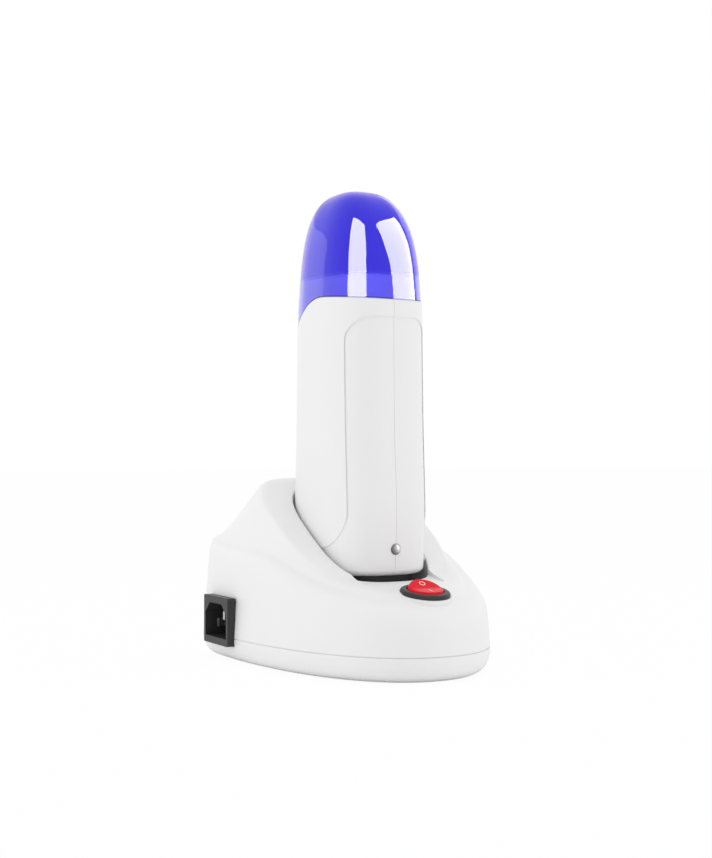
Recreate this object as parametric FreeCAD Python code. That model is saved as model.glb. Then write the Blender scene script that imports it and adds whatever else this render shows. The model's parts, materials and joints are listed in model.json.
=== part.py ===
"""Roll-on wax heater: a cartridge handset with a clear cap, docked in a mains-powered base.

Millimetres, +Z up. The origin is on the ground under the middle of the handset. -Y is the side
with the rocker switch, +Y the high side of the collar, -X the side with the mains inlet.
"""
import FreeCAD, Part
import os
from math import atan, cos, degrees, exp, hypot, pi, sin, sqrt, tan

Vector = FreeCAD.Vector
X_AXIS = Vector(1, 0, 0)
Y_AXIS = Vector(0, 1, 0)
Z_AXIS = Vector(0, 0, 1)

# ---------------------------------------------------------------- driving dimensions, base
BASE_HALF_WIDTH = 59.0          # widest half width of the base, at its parting line
BASE_FRONT_REACH = 80.0         # from the origin to the front edge
BASE_REAR_REACH = 79.0          # from the origin to the rear edge
BASE_WIDEST_Y = 39.0            # where the base is widest
BASE_FRONT_POWER = 2.22         # 2 is an ellipse, more is squarer
BASE_REAR_POWER = 3.3
BASE_WALL = 2.6
PARTING_Z = 12.0                # joint between the upper shell and the bottom tray
FOOT_SHOWING = 0.6              # how far the feet lift the tray off the ground
BOTTOM_EDGE_RADIUS = 6.5
BOTTOM_EDGE_END = 3.0           # the rounded edge ends this far under the parting line
WALL_DRAFT = 0.074              # inward lean of the side walls, mm per mm
SHOULDER_FRONT_RADIUS = 12.0
SHOULDER_REAR_RADIUS = 3.4
SEAM_GROOVE = 0.5

PANEL_HEIGHT = 38.4             # of the switch panel, at the middle of the switch
PANEL_SLOPE = 0.17              # the panel rises towards the rear
SIDE_RISE = 5.7                 # how far the shoulders stand above the panel's plane
SIDE_RISE_Y = 2.0               # where they stand highest
SIDE_RISE_SPREAD = 25.0
COLLAR_TOP = 89.6
COLLAR_SLOPE = 0.622            # of the land that slopes up around the handset
COLLAR_FRONT_HEIGHT = 40.6      # of the sloping land at the front of the pocket
RIDGE_HALF_WIDTH = 41.7
RIDGE_FRONT_REACH = 39.0
RIDGE_REAR_REACH = 48.3
RIDGE_WIDEST_Y = 9.8
RIDGE_FRONT_POWER = 2.58
RIDGE_REAR_POWER = 2.66
RIDGE_SOFTNESS = 2.5
RIDGE_ROUNDING = 0.085
SWEEP_FULLNESS = -0.03          # below zero, the sweep is hollower than a straight slope
LAND_CORE = (18.0, 24.0)        # half sizes of the land's middle, which the pocket cuts away

# ---------------------------------------------------------------- driving dimensions, handset
HANDSET_BOTTOM = 43.8
HANDSET_EDGE_RADIUS = 3.5
HANDSET_POWER = 2.9
HANDSET_WALL = 2.2
HALF_WIDTH_LOW = 26.2           # across the broad faces, in the lower part
HALF_WIDTH_HIGH = 25.5          # and at the joint with the cap
TAPER_START_Z = 100.0
GRIP_BULGE_Z = 74.0             # where the narrow sides swell most
GRIP_BULGE = 2.9
GRIP_BULGE_SPREAD = 25.0
HALF_DEPTH_HIGH = 32.8          # along the narrow direction's far side, away from the bulge
CAP_JOINT_RISE = 0.08           # slope of the joint of handset and cap, up from the switch side
CAP_JOINT_DROP = 0.65           # and down towards the other side
CAP_JOINT_BEND_Y = 1.3          # where the two slopes would meet, and how high
CAP_JOINT_BEND_Z = 176.8
CAP_JOINT_BEND_RADIUS = 30.0
DOME_START_Z = 175.3            # the cap starts to turn into its dome here
CAP_TOP = 229.8
CAP_TAPER = 0.11                # how much narrower the cap is at its top, before its dome
CAP_DOME_POWER = 3.1
CAP_CROWN = 0.06                # share of the plan that the flat crown of the dome keeps
CAP_LEAN = 5.2                  # the top of the dome lies this far towards +Y
CAP_LEAN_POWER = 3.0            # how late on the way up the lean sets in
CAP_WALL = 1.8
CAP_GAP = 0.3
NECK_TOP = 186.3
GRIP_STEP = 0.4                 # depth of the grip panel's step
GRIP_PANEL_HALF_WIDTH = 21.8
GRIP_PANEL_TOP = 166.0
GRIP_PANEL_CORNER = 11.0
GRIP_SKIRT_Z = 56.7
GRIP_FLARE_RADIUS = 19.0        # of the curve in which the panel runs out to the broad sides
HANDSET_RING_STEP = 9.0
HALF_SHELL_GAP = 0.12           # between the two half shells, at their seam
NECK_TAPER = 0.026              # how much narrower the neck is at its top
NECK_EDGE = 1.6
FIT = 0.3                       # clearance between pieces that are put together
RUNNING_FIT = 0.05              # radial clearance of a pin that turns or slides
DOCK_CLEARANCE = 1.0            # around the handset in its pocket
POCKET_RIM_RADIUS = 0.8
NOTCH_HALF_WIDTH = 21.7         # of the shallow notch in the panel before the handset
NOTCH_REACH = 43.5
NOTCH_DEPTH = 0.5
NOTCH_CORNER = 1.5

CHAMBER_HALF_WIDTH = 20.2
CHAMBER_HALF_DEPTH = 27.7
CHAMBER_CORNER = 14.0
CHAMBER_WALL = 1.2
CHAMBER_BOTTOM = 60.5
CHAMBER_TOP = 172.0
CHAMBER_FLOOR = 2.0
HEATER_THICKNESS = 2.0
HEATER_BOTTOM = 68.0
HEATER_HEIGHT = 80.0
HEATER_CLEARANCE = 0.5          # between the heaters and the neck above them
NECK_ROOT = HEATER_BOTTOM + HEATER_HEIGHT + HEATER_CLEARANCE
CRADLE_INSET = 3.0
CRADLE_THICKNESS = 2.5
CRADLE_WINDOW = (12.0, 18.0)
CRADLE_LEG = (11.0, 15.0)
CRADLE_LEG_RADIUS = 2.0
THERMOSTAT = (20.0, 8.0, 4.0)
THERMOSTAT_X = 1.5              # its middle, so that one end lies over a contact
FUSE_RADIUS = 2.0
FUSE_LENGTH = 12.0
FUSE_Y = 9.0
PAD_RADIUS = 4.0
PAD_FLANGE_RADIUS = 5.4
PAD_FLANGE = 1.2
PAD_POST = 2.0
LAMP_LENGTH = 6.5
LAMP_DOME = 1.5
HANDSET_SCREW_HEAD_RADIUS = 2.5
HANDSET_SCREW_SINK = 4.0
HANDSET_SCREW_LENGTH = 30.0

# ---------------------------------------------------------------- driving dimensions, fittings
POCKET_FLOOR = 36.0
PEDESTAL_SIZE = (36.0, 56.0)
PEDESTAL_CORNER = 12.0
BLOCK_BODY_SIZE = (34.0, 14.0)
BLOCK_BOTTOM = 25.0
CONTACT_X = 10.0
PIN_RADIUS = 1.5
PIN_TIP_ROUNDING = 0.9
PIN_COLLAR_RADIUS = 2.4
PIN_COLLAR_HEIGHT = 1.8
PIN_GAP = 0.3                   # between the pin's tip and the handset's contact
SPRING_WIRE = 0.5
SPRING_TURNS = 6
TERMINAL_THICKNESS = 1.0
DOCK_TAB = (4.0, 0.8, 7.0)
PIN_SHOULDER_RISE = 2.5         # of the pin's stop above the pocket floor
DOCK_SCREW_Y = 14.0
DOCK_SCREW_LENGTH = 9.0

SWITCH_Y = -59.6
SWITCH_SINK = 0.4               # of the bezel's seat under the panel's plane
SWITCH_PAD_MARGIN = 0.6         # how far the flat seat reaches past the bezel
SWITCH_PAD_DEPTH = 3.5
SWITCH_BEZEL_RADIUS = 11.6
SWITCH_BODY_RADIUS = 9.9
SWITCH_BEZEL_HEIGHT = 2.0
SWITCH_BEZEL_ROUNDING = 1.4
SWITCH_DEPTH = 16.0
SWITCH_CAVITY = 10.0
SWITCH_TAB = (4.8, 0.8, 7.0)
SWITCH_TAB_PITCH = 5.0
SWITCH_TAB_COVER = 2.0          # between the switch's cavity and its terminals
ROCKER_RADIUS = 8.5
ROCKER_SWING = 20.0             # degrees, from one end position to the other
ROCKER_PIVOT_RADIUS = 1.2
ROCKER_PIVOT_REACH = 9.4
ROCKER_CROWN = 3.0              # height of the rocker's middle above its pivot
ROCKER_BELOW = 4.0
LAMP_TUBE_RADIUS = 1.7

INLET_Y = 33.4
INLET_Z = 20.1
INLET_INSET = 1.4               # of the inlet's seat from the base's widest place
INLET_SEAT_X = INLET_INSET - BASE_HALF_WIDTH
INLET_SEAT_DEPTH = 8.0          # of the thick wall around the inlet
INLET_FLANGE = (27.6, 23.3, 4.2)
INLET_BODY = (26.0, 19.8, 20.0)
INLET_MOUTH = (24.0, 16.5, 16.0)
INLET_MOUTH_CHAMFER = 5.0
INLET_CORNER = 0.8
BLADE = (4.0, 2.0)
BLADE_SETBACK = 4.5
BLADE_SPREAD = 7.0
BLADE_RISE = 2.0
BLADE_TAIL = 8.0

FOOT_RADIUS = 6.0
FOOT_SEAT = 1.2
FRONT_FOOT = (25.0, -45.0)
REAR_FOOT = (26.0, 58.0)
FRONT_SCREW = (38.0, -18.0)
REAR_SCREW = (38.0, 52.0)
BOSS_RADIUS = 4.0
SCREW_RADIUS = 1.5
SCREW_HEAD_RADIUS = 2.8
SCREW_HEAD_HEIGHT = 1.8
SCREW_DRIVE_RADIUS = 1.0
SCREW_RECESS = 3.0
SCREW_LENGTH = 20.0

WIRE_DIAMETER = 2.0
BLADE_RUN_OUT = 8.0             # how far a wire runs straight on from what it is joined to
SWITCH_RUN_OUT = 3.8
DOCK_RUN_OUT = 4.0
LINE_ROUTE = ((-13, 12, 12), (-22, -8, 8), (-21, -28, 7.5), (-14, -46, 7.5), (-4, -63, 7.3))
SWITCHED_ROUTE = ((6, -44, 8.5), (12, -30, 8), (15, -16, 8), (11.5, -5, 9))
NEUTRAL_ROUTE = ((-10, 30, 12), (-8, 17, 9), (-11, 6, 9))
LEAD_DIAMETER = 1.4
LEAD_TURN_OUT = 8.3             # of the lead's two bends, below the chamber
LEAD_TURN_UP = 1.8
LAMP_Z = 56.8
LAMP_RADIUS = 2.7
HANDSET_SCREW_Y = 21.0
HANDSET_SCREW_Z = 51.2
HANDSET_BOSS_RADIUS = 3.0

RING_POINTS = 48
BEND_SHARE = 0.45               # share of a wire's shorter run that an arc takes up
OVERSHOOT = 1.0                 # how far a cutter passes the face that it opens
RIM_TOLERANCE = 0.05
TINY = 0.01

# ---------------------------------------------------------------- derived values
TRAY_BOTTOM = FOOT_SHOWING
PANEL_TILT = degrees(atan(PANEL_SLOPE))
CONTACT_RECESS = 0.2
PIN_TOP = HANDSET_BOTTOM + CONTACT_RECESS - PIN_GAP


# ---------------------------------------------------------------- shape helpers
def signed_power(value, power):
    return (abs(value) ** power) * (1 if value >= 0 else -1)


def soft_max(first, second, softness):
    return (first + second + sqrt((first - second) ** 2 + softness ** 2)) / 2


def soft_min(first, second, softness):
    return -soft_max(-first, -second, softness)


def ring_angles():
    return [2 * pi * (i + 0.5) / RING_POINTS for i in range(RING_POINTS)]


def oval(half_width, front, rear, middle_y, front_power, rear_power):
    """Plan of a closed oval as (x, y) pairs: front is its reach to -Y, rear its reach to +Y."""
    points = []
    for angle in ring_angles():
        power = rear_power if sin(angle) > 0 else front_power
        reach = rear if sin(angle) > 0 else front
        x = half_width * signed_power(cos(angle), 2 / power)
        y = middle_y + reach * signed_power(sin(angle), 2 / power)
        points.append((x, y))
    return points


def half_arcs(curve):
    """A closed curve as two edges that meet on the left and right: whole loops cut badly."""
    middle = (curve.FirstParameter + curve.LastParameter) / 2
    return [curve.toShape(curve.FirstParameter, middle), curve.toShape(middle, curve.LastParameter)]


def ring_wire(points):
    """A smooth closed wire drawn around by the points of a ring."""
    curve = Part.BSplineCurve()
    knots = list(range(len(points) + 1))
    curve.buildFromPolesMultsKnots([Vector(*p) for p in points], [1] * len(knots), knots, True, 3)
    return Part.Wire(half_arcs(curve))


def skin_over(rings):
    """A closed solid with a smooth cubic skin over the rings; the end rings are flat."""
    around = list(range(RING_POINTS + 1))
    across = list(range(len(rings) - 2))
    poles = [[Vector(*ring[i]) for ring in rings] for i in range(RING_POINTS)]
    surface = Part.BSplineSurface()
    surface.buildFromPolesMultsKnots(poles, [1] * len(around), [4] + [1] * (len(across) - 2) + [4],
                                     around, across, True, False, 3, 3)
    middle = RING_POINTS / 2
    sides = [surface.toShape(start, start + middle, across[0], across[-1]) for start in (0, middle)]
    caps = [Part.Face(Part.Wire(half_arcs(surface.vIso(level)))) for level in (across[0], across[-1])]
    shell = Part.Shell(sides + caps)
    shell.sewShape()
    return Part.Solid(shell)


def box(x_range, y_range, z_range):
    size = [x_range[1] - x_range[0], y_range[1] - y_range[0], z_range[1] - z_range[0]]
    return Part.makeBox(*size, Vector(x_range[0], y_range[0], z_range[0]))


def rounded_prism(half_x, half_y, corner, bottom, top, middle=(0.0, 0.0)):
    solid = box((middle[0] - half_x, middle[0] + half_x), (middle[1] - half_y, middle[1] + half_y),
                (bottom, top))
    uprights = [e for e in solid.Edges if abs(e.tangentAt(e.FirstParameter).z) > 0.9]
    return solid.makeFillet(corner, uprights)


def upright(radius, bottom, top, place=(0.0, 0.0)):
    return Part.makeCylinder(radius, top - bottom, Vector(place[0], place[1], bottom), Z_AXIS)


def wire_bend(before, corner, after):
    """The tangent arc at a corner of a wire's route, as its two ends, its middle and its radius."""
    inward = (before - corner).normalize()
    outward = (after - corner).normalize()
    half_turn = (pi - inward.getAngle(outward)) / 2
    setback = BEND_SHARE * min((before - corner).Length, (after - corner).Length)
    radius = setback / tan(half_turn)
    bisector = (inward + outward).normalize()
    middle = corner + bisector * (hypot(radius, setback) - radius)
    return corner + inward * setback, middle, corner + outward * setback, radius


def tube_along(name, points, diameter):
    """A round wire along straight runs joined by tangent arcs."""
    spots = [Vector(*p) for p in points]
    bends = [wire_bend(*corner) for corner in zip(spots, spots[1:], spots[2:])]
    print(name, "bend radii", [round(bend[3], 1) for bend in bends])
    edges = []
    start = spots[0]
    for entry, middle, leave, radius in bends:
        edges.append(Part.LineSegment(start, entry).toShape())
        edges.append(Part.Arc(entry, middle, leave).toShape())
        start = leave
    edges.append(Part.LineSegment(start, spots[-1]).toShape())
    section = Part.Wire([Part.makeCircle(diameter / 2, spots[0], spots[1] - spots[0])])
    return Part.Wire(edges).makePipeShell([section], True, False)


# ---------------------------------------------------------------- base casing
def panel_height(y):
    return PANEL_HEIGHT + PANEL_SLOPE * (y - SWITCH_Y)


def land_height(y):
    """The sloping land around the pocket, before it levels off at the collar's top."""
    return COLLAR_FRONT_HEIGHT + COLLAR_SLOPE * (y + pocket_half_back())


def collar_height(y):
    risen = soft_max(land_height(y), panel_height(y), RIDGE_SOFTNESS)
    return soft_min(risen, COLLAR_TOP, RIDGE_SOFTNESS)


def shoulder_height(y):
    return panel_height(y) + SIDE_RISE * exp(-((y - SIDE_RISE_Y) / SIDE_RISE_SPREAD) ** 2)


def shoulder_radius(y):
    share = (y + BASE_FRONT_REACH) / (BASE_FRONT_REACH + BASE_REAR_REACH)
    return SHOULDER_FRONT_RADIUS + (SHOULDER_REAR_RADIUS - SHOULDER_FRONT_RADIUS) * share


def base_outline(inset):
    return oval(BASE_HALF_WIDTH - inset, BASE_WIDEST_Y + BASE_FRONT_REACH - inset,
                BASE_REAR_REACH - BASE_WIDEST_Y - inset, BASE_WIDEST_Y,
                BASE_FRONT_POWER, BASE_REAR_POWER)


def ridge_outline(inset):
    return oval(RIDGE_HALF_WIDTH - inset, RIDGE_WIDEST_Y + RIDGE_FRONT_REACH - inset,
                RIDGE_REAR_REACH - RIDGE_WIDEST_Y - inset, RIDGE_WIDEST_Y,
                RIDGE_FRONT_POWER, RIDGE_REAR_POWER)


def sweep_share(rho):
    """How much of the collar's height is left at a share rho of the way out to the shoulder."""
    full = sqrt(1 + RIDGE_ROUNDING ** 2)
    straight = (full - sqrt(rho ** 2 + RIDGE_ROUNDING ** 2)) / (full - RIDGE_ROUNDING)
    return straight + SWEEP_FULLNESS * sin(pi * rho)


def wall_top(y):
    return shoulder_height(y) - shoulder_radius(y)


def inset_ring(inset_at, height_at):
    """A ring of the wall whose inset and height change along Y."""
    ring = []
    for index, (_, y) in enumerate(base_outline(0.0)):
        x, inset_y = base_outline(inset_at(y))[index]
        ring.append((x, inset_y, height_at(y)))
    return ring


def bottom_rings(skin):
    """The flat bottom's rim and the rounded edge around it."""
    bottom = TRAY_BOTTOM + skin
    rise = PARTING_Z - BOTTOM_EDGE_END - bottom
    rings = []
    for turn in (0, 30, 60, 90):
        lean = turn * pi / 180
        inset = skin + BOTTOM_EDGE_RADIUS * (1 - sin(lean))
        rings.append([(x, y, bottom + rise * (1 - cos(lean))) for x, y in base_outline(inset)])
    return rings


def wall_rings(skin):
    """The leaning wall from the parting line up, and the rounded shoulder on it."""
    def inset_at(y, share):
        return skin + WALL_DRAFT * share * (wall_top(y) - PARTING_Z)

    rings = []
    for share in (0.0, 0.5, 1.0):
        rings.append(inset_ring(
            lambda y: inset_at(y, share),
            lambda y: PARTING_Z + share * (wall_top(y) - PARTING_Z - skin / 2)))
    for turn in (30, 60, 90):
        lean = turn * pi / 180
        rings.append(inset_ring(
            lambda y: inset_at(y, 1.0) + (shoulder_radius(y) - skin / 2) * (1 - cos(lean)),
            lambda y: wall_top(y) + shoulder_radius(y) * sin(lean) - skin * (1 + sin(lean)) / 2))
    return rings


def sweep_rings(skin, shoulder, ridge):
    """The concave sweep from the shoulder up to the collar's ridge."""
    rings = []
    for rho in (0.8, 0.6, 0.4, 0.25, 0.12, 0.0):
        ring = []
        for (outer_x, outer_y, _), (ridge_x, ridge_y) in zip(shoulder, ridge):
            x = ridge_x + (outer_x - ridge_x) * rho
            y = ridge_y + (outer_y - ridge_y) * rho
            rise = (collar_height(ridge_y) - panel_height(ridge_y)) * sweep_share(rho)
            foot = (shoulder_height(outer_y) - panel_height(outer_y)) * rho
            ring.append((x, y, panel_height(y) + foot + rise - skin))
        rings.append(ring)
    return rings


def land_rings(skin, ridge):
    """The land inside the ridge, as far as the middle that the pocket cuts away."""
    core = oval(LAND_CORE[0], LAND_CORE[1], LAND_CORE[1], 0.0, RIDGE_FRONT_POWER, RIDGE_FRONT_POWER)
    rings = []
    for share in (0.15, 0.35, 0.6, 0.8):
        ring = []
        for (ridge_x, ridge_y), (core_x, core_y) in zip(ridge, core):
            y = ridge_y + (core_y - ridge_y) * share
            ring.append((ridge_x + (core_x - ridge_x) * share, y, collar_height(y) - skin))
        rings.append(ring)
    rings.append([(x, y, land_height(y) - skin) for x, y in core])
    return rings


def base_body(skin):
    """The base's outer form, or its hollow when skin is the wall thickness."""
    ridge = ridge_outline(skin)
    walls = wall_rings(skin)
    sweep = sweep_rings(skin, walls[-1], ridge)
    return skin_over(bottom_rings(skin) + walls + sweep + land_rings(skin, ridge))


def half_width(z):
    """Half the handset's width across its broad faces."""
    share = min(max((z - TAPER_START_Z) / (DOME_START_Z - TAPER_START_Z), 0.0), 1.0)
    return HALF_WIDTH_LOW + (HALF_WIDTH_HIGH - HALF_WIDTH_LOW) * share


def half_depth(z):
    """Half the handset's depth, with the swelling that fills the palm."""
    swell = ((z - GRIP_BULGE_Z) / GRIP_BULGE_SPREAD) ** 2
    return HALF_DEPTH_HIGH + GRIP_BULGE / (1 + swell)


def pocket_half_width():
    return HALF_WIDTH_LOW + DOCK_CLEARANCE


def pocket_half_back():
    return half_depth(GRIP_BULGE_Z) + DOCK_CLEARANCE


def pocket(inset, bottom, top):
    reach = pocket_half_back() + inset
    plan = oval(pocket_half_width() + inset, reach, reach, 0.0, HANDSET_POWER, HANDSET_POWER)
    wire = ring_wire([(x, y, bottom) for x, y in plan])
    return Part.Face(wire).extrude(Vector(0, 0, top - bottom))


def inlet_box(half_y, half_z, x_range):
    return box(x_range, (INLET_Y - half_y, INLET_Y + half_y), (INLET_Z - half_z, INLET_Z + half_z))


def switch_frame(solid):
    """Move a solid drawn around the origin, its face up, to the switch's place on the panel."""
    placed = solid.copy()
    placed.rotate(Vector(0, 0, 0), X_AXIS, PANEL_TILT)
    placed.translate(Vector(0, SWITCH_Y, PANEL_HEIGHT - SWITCH_SINK))
    return placed


def switch_pad():
    """The thick flat seat under the switch's bezel, where the panel curves away from it."""
    return switch_frame(upright(SWITCH_BEZEL_RADIUS + SWITCH_PAD_MARGIN, -SWITCH_PAD_DEPTH, 0))


def screw_places():
    return [(side * x, y) for x, y in (FRONT_SCREW, REAR_SCREW) for side in (-1, 1)]


def screw(place, bottom, length):
    """A pan-head screw that points up."""
    head = upright(SCREW_HEAD_RADIUS, bottom, bottom + SCREW_HEAD_HEIGHT, place)
    drive = upright(SCREW_DRIVE_RADIUS, bottom - OVERSHOOT, bottom + SCREW_HEAD_HEIGHT / 2, place)
    shaft = upright(SCREW_RADIUS, bottom, bottom + length, place)
    return head.fuse(shaft).cut(drive)


def casing_holes():
    """Everything that is cut from the casing for what sits in it or passes through it."""
    flange_y, flange_z = INLET_FLANGE[0] / 2 + FIT / 2, INLET_FLANGE[1] / 2 + FIT / 2
    body_y, body_z = INLET_BODY[0] / 2 + FIT, INLET_BODY[1] / 2 + FIT
    block_x, block_y = BLOCK_BODY_SIZE[0] / 2 + FIT, BLOCK_BODY_SIZE[1] / 2 + FIT
    recess_top = TRAY_BOTTOM + SCREW_RECESS
    holes = [
        inlet_box(flange_y, flange_z, (-2 * BASE_HALF_WIDTH, INLET_SEAT_X)),
        inlet_box(body_y, body_z, (INLET_SEAT_X - OVERSHOOT, INLET_SEAT_X + INLET_BODY[2])),
        switch_frame(upright(SWITCH_BODY_RADIUS + FIT, -SWITCH_DEPTH, SWITCH_DEPTH)),
        switch_frame(upright(SWITCH_BEZEL_RADIUS + FIT / 2, 0, SWITCH_DEPTH)),
        box((-block_x, block_x), (-block_y, block_y), (BLOCK_BOTTOM, POCKET_FLOOR + OVERSHOOT))]
    for place in screw_places():
        holes.append(upright(SCREW_HEAD_RADIUS + FIT, 0, recess_top, place))
        holes.append(upright(SCREW_RADIUS + TINY, 0, recess_top + SCREW_LENGTH, place))
    for place in dock_screw_places():
        holes.append(upright(SCREW_RADIUS + TINY, PARTING_Z, POCKET_FLOOR + OVERSHOOT, place))
    for place in foot_places().values():
        holes.append(upright(FOOT_RADIUS, 0, TRAY_BOTTOM + FOOT_SEAT, place))
    return holes


def pocket_rim(shell):
    """The edges in which the pocket's wall meets the casing's outer face."""
    half_x, half_y = pocket_half_width(), pocket_half_back()

    def on_outline(point):
        level = abs(point.x / half_x) ** HANDSET_POWER + abs(point.y / half_y) ** HANDSET_POWER
        return abs(level - 1) < RIM_TOLERANCE

    return [edge for edge in shell.Edges
            if edge.BoundBox.ZMin > POCKET_FLOOR + FIT and edge.BoundBox.XLength > FIT
            and all(on_outline(point) for point in edge.discretize(RING_POINTS))]


def front_notch():
    """The notch in front of the pocket, which keeps to the panel's slope."""
    slant = cos(atan(PANEL_SLOPE))
    front, rear = (-NOTCH_REACH - SWITCH_Y) / slant, (LAND_CORE[1] - pocket_half_back() - SWITCH_Y) / slant
    notch = box((-NOTCH_HALF_WIDTH, NOTCH_HALF_WIDTH), (front, rear),
                (SWITCH_SINK - NOTCH_DEPTH, SWITCH_SINK + 2 * COLLAR_FRONT_HEIGHT))
    corners = [e for e in notch.Edges
               if abs(e.tangentAt(e.FirstParameter).z) > 0.9 and e.BoundBox.YMax < front + TINY]
    return switch_frame(notch.makeFillet(NOTCH_CORNER, corners))


def casing():
    """The whole base casing with its openings, before it is parted into shell and tray."""
    within = base_body(BASE_WALL / 2)
    flange_y, flange_z = INLET_FLANGE[0] / 2 + BASE_WALL, INLET_FLANGE[1] / 2 + BASE_WALL
    added = [inlet_box(flange_y, flange_z, (INLET_SEAT_X - INLET_SEAT_DEPTH, INLET_SEAT_X + BASE_WALL)),
             pocket(BASE_WALL, POCKET_FLOOR - BASE_WALL, COLLAR_TOP)]
    added += [upright(BOSS_RADIUS, 0, COLLAR_TOP, place) for place in screw_places()]
    shell = base_body(0.0).cut(base_body(BASE_WALL))
    shell = shell.fuse([piece.common(within) for piece in added] + [switch_pad()])
    shell = shell.cut(pocket(0.0, POCKET_FLOOR, 2 * COLLAR_TOP))
    return shell.makeFillet(POCKET_RIM_RADIUS, pocket_rim(shell)).cut([front_notch()] + casing_holes())


def parting_slab(bottom, top):
    reach = 2 * BASE_FRONT_REACH
    return box((-reach, reach), (-reach, reach), (bottom, top))


def upper_shell(whole):
    groove = parting_slab(PARTING_Z, PARTING_Z + SEAM_GROOVE).cut(base_body(SEAM_GROOVE))
    return whole.cut([parting_slab(0, PARTING_Z), groove])


def bottom_tray(whole):
    return whole.cut(parting_slab(PARTING_Z, 2 * COLLAR_TOP))


def foot_places():
    return {"front_left": (-FRONT_FOOT[0], FRONT_FOOT[1]), "front_right": FRONT_FOOT,
            "rear_left": (-REAR_FOOT[0], REAR_FOOT[1]), "rear_right": REAR_FOOT}


def rubber_foot(place):
    solid = upright(FOOT_RADIUS, 0, TRAY_BOTTOM + FOOT_SEAT, place)
    lower_rim = [edge for edge in solid.Edges if edge.BoundBox.ZMax < TINY]
    return solid.makeFillet(FOOT_SHOWING / 2, lower_rim)


# ---------------------------------------------------------------- mains inlet
def inlet_housing():
    half_y, half_z = INLET_FLANGE[0] / 2, INLET_FLANGE[1] / 2
    front = INLET_SEAT_X - INLET_FLANGE[2]
    flange = inlet_box(half_y, half_z, (front, INLET_SEAT_X))
    corners = [e for e in flange.Edges if abs(e.tangentAt(e.FirstParameter).x) > 0.9]
    flange = flange.makeFillet(INLET_CORNER, corners)
    body = inlet_box(INLET_BODY[0] / 2, INLET_BODY[1] / 2, (INLET_SEAT_X, INLET_SEAT_X + INLET_BODY[2]))
    mouth = inlet_box(INLET_MOUTH[0] / 2, INLET_MOUTH[1] / 2, (front - OVERSHOOT, front + INLET_MOUTH[2]))
    mouth_top = [e for e in mouth.Edges
                 if abs(e.tangentAt(e.FirstParameter).x) > 0.9 and e.BoundBox.ZMin > INLET_Z]
    mouth = mouth.makeChamfer(INLET_MOUTH_CHAMFER, mouth_top)
    slots = [blade(y, z) for y, z in blade_places().values()]
    return flange.fuse(body).cut([mouth] + slots)


def blade_places():
    return {"earth": (INLET_Y, INLET_Z + BLADE_RISE),
            "line": (INLET_Y - BLADE_SPREAD, INLET_Z - BLADE_RISE),
            "neutral": (INLET_Y + BLADE_SPREAD, INLET_Z - BLADE_RISE)}


def blade_rear_x():
    return INLET_SEAT_X + INLET_BODY[2] + BLADE_TAIL


def blade(y, z):
    """A flat pin that stands in the inlet's mouth and ends in a solder tail behind it."""
    front = INLET_SEAT_X - INLET_FLANGE[2] + BLADE_SETBACK
    return box((front, blade_rear_x()), (y - BLADE[1] / 2, y + BLADE[1] / 2),
               (z - BLADE[0] / 2, z + BLADE[0] / 2))


# ---------------------------------------------------------------- rocker switch
def switch_housing():
    bezel = upright(SWITCH_BEZEL_RADIUS, 0, SWITCH_BEZEL_HEIGHT)
    outer_rim = [e for e in bezel.Edges if e.BoundBox.ZMin > SWITCH_BEZEL_HEIGHT - TINY]
    bezel = bezel.makeFillet(SWITCH_BEZEL_ROUNDING, outer_rim)
    body = upright(SWITCH_BODY_RADIUS, -SWITCH_DEPTH, 0)
    cavity = upright(ROCKER_RADIUS + FIT, -SWITCH_CAVITY, SWITCH_BEZEL_HEIGHT + OVERSHOOT)
    reach = ROCKER_PIVOT_REACH + RUNNING_FIT
    pivot_hole = Part.makeCylinder(ROCKER_PIVOT_RADIUS + RUNNING_FIT, 2 * reach, Vector(-reach, 0, 0), X_AXIS)
    slots = [terminal_tab(y) for y in switch_tab_places()]
    return switch_frame(bezel.fuse(body).cut([cavity, pivot_hole] + slots))


def switch_tab_places():
    return (-SWITCH_TAB_PITCH, 0.0, SWITCH_TAB_PITCH)


def terminal_tab(y):
    """A switch tab in the switch's own frame: it starts in the housing's floor."""
    top = -SWITCH_CAVITY - SWITCH_TAB_COVER
    bottom = -SWITCH_DEPTH - SWITCH_TAB[2]
    return box((-SWITCH_TAB[0] / 2, SWITCH_TAB[0] / 2), (y - SWITCH_TAB[1] / 2, y + SWITCH_TAB[1] / 2),
               (bottom, top))


def switch_rocker():
    """The rocker at rest in its ON position, its -Y end pressed in."""
    ball = Part.makeSphere(ROCKER_RADIUS, Vector(0, 0, 0))
    rise = ROCKER_RADIUS * tan(ROCKER_SWING / 2 * pi / 180)
    reach = ROCKER_RADIUS
    outline = [(-reach, -ROCKER_BELOW), (reach, -ROCKER_BELOW), (reach, ROCKER_CROWN + rise),
               (0, ROCKER_CROWN), (-reach, ROCKER_CROWN + rise)]
    loop = Part.makePolygon([Vector(-2 * reach, y, z) for y, z in outline + outline[:1]])
    wedge = Part.Face(loop).extrude(X_AXIS * 4 * reach)
    paddle = ball.common(wedge)
    pivot = Part.makeCylinder(ROCKER_PIVOT_RADIUS, 2 * ROCKER_PIVOT_REACH,
                              Vector(-ROCKER_PIVOT_REACH, 0, 0), X_AXIS)
    rocker = paddle.fuse(pivot)
    rocker.rotate(Vector(0, 0, 0), X_AXIS, ROCKER_SWING / 2)
    return switch_frame(rocker)


def switch_lamp():
    length = ROCKER_RADIUS
    z = -SWITCH_CAVITY + LAMP_TUBE_RADIUS
    return switch_frame(Part.makeCylinder(LAMP_TUBE_RADIUS, length, Vector(-length / 2, 0, z), X_AXIS))


# ---------------------------------------------------------------- dock contacts
def dock_screw_places():
    return [(0.0, -DOCK_SCREW_Y), (0.0, DOCK_SCREW_Y)]


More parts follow.
